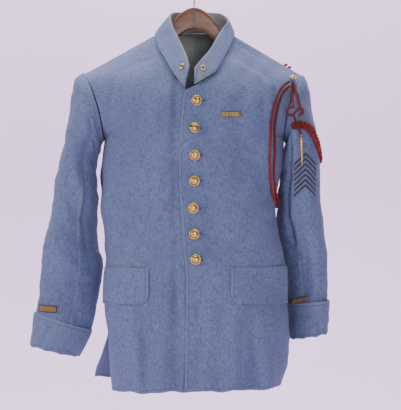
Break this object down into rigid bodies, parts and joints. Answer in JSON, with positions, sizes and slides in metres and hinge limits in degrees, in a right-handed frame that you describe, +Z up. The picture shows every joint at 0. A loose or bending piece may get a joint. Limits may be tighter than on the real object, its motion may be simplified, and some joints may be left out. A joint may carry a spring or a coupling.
{
  "type": "military tunic on hanger",
  "caption": "Greyish-blue wool military tunic with stand collar, brass buttons, sleeve chevrons and a red shoulder cord, hanging open-necked on a wooden hanger.",
  "frame": {"origin": "inside top of the hanger's hook, where the rail carries it", "axes": "+Z up, -Y out of the tunic's front, +X to the wearer's left"},
  "size_m": [0.5782, 0.235, 0.81],
  "materials": {
    "serge": "greyish horizon-blue wool serge, matte",
    "lining_cloth": "grey-green cotton lining",
    "brass": "worn brass",
    "gold_lace": "dulled gold lace",
    "navy_cloth": "dark navy wool braid",
    "grey_cloth": "dark blue-grey wool backing",
    "ribbon_cloth": "yellow ribbon with green stripes",
    "bronze": "darkened bronze frame",
    "red_cord": "brick-red plaited cord",
    "varnished_wood": "varnished warm brown wood",
    "steel": "plain steel wire",
    "black_metal": "blackened wire"
  },
  "bodies": {
    "root": {"front_left": "serge", "back_left": "serge", "sleeve_upper_left": "serge", "sleeve_under_left": "serge", "cuff_left": "serge", "collar_left": "serge", "pocket_flap_left": "serge", "cuff_tab_left": "navy_cloth", "cuff_lace_left": "gold_lace", "collar_eyelet_left": "brass", "hanger_left": "varnished_wood", "front_right": "serge", "back_right": "serge", "sleeve_upper_right": "serge", "sleeve_under_right": "serge", "cuff_right": "serge", "collar_right": "serge", "pocket_flap_right": "serge", "cuff_tab_right": "navy_cloth", "cuff_lace_right": "gold_lace", "collar_eyelet_right": "brass", "hanger_right": "varnished_wood", "collar_lining": "lining_cloth", "back_lining": "lining_cloth", "button_1": "brass", "chevron_1": "navy_cloth", "button_2": "brass", "chevron_2": "navy_cloth", "button_3": "brass", "chevron_3": "navy_cloth", "button_4": "brass", "chevron_4": "navy_cloth", "button_5": "brass", "chevron_5": "navy_cloth", "button_6": "brass", "chevron_6": "navy_cloth", "button_7": "brass", "chevron_7": "navy_cloth", "shoulder_button": "brass", "chevron_patch": "grey_cloth", "ribbon_bar": "bronze", "ribbon": "ribbon_cloth", "collar_hook": "black_metal", "collar_eye": "black_metal", "hanger_hook": "steel", "cord_outer": "red_cord", "cord_inner": "red_cord", "cord_braid": "red_cord", "cord_drop_left": "red_cord", "cord_drop_right": "red_cord", "cord_knot": "red_cord", "cord_pendant": "red_cord", "cord_ferrule": "brass"}
  },
  "joints": []
}
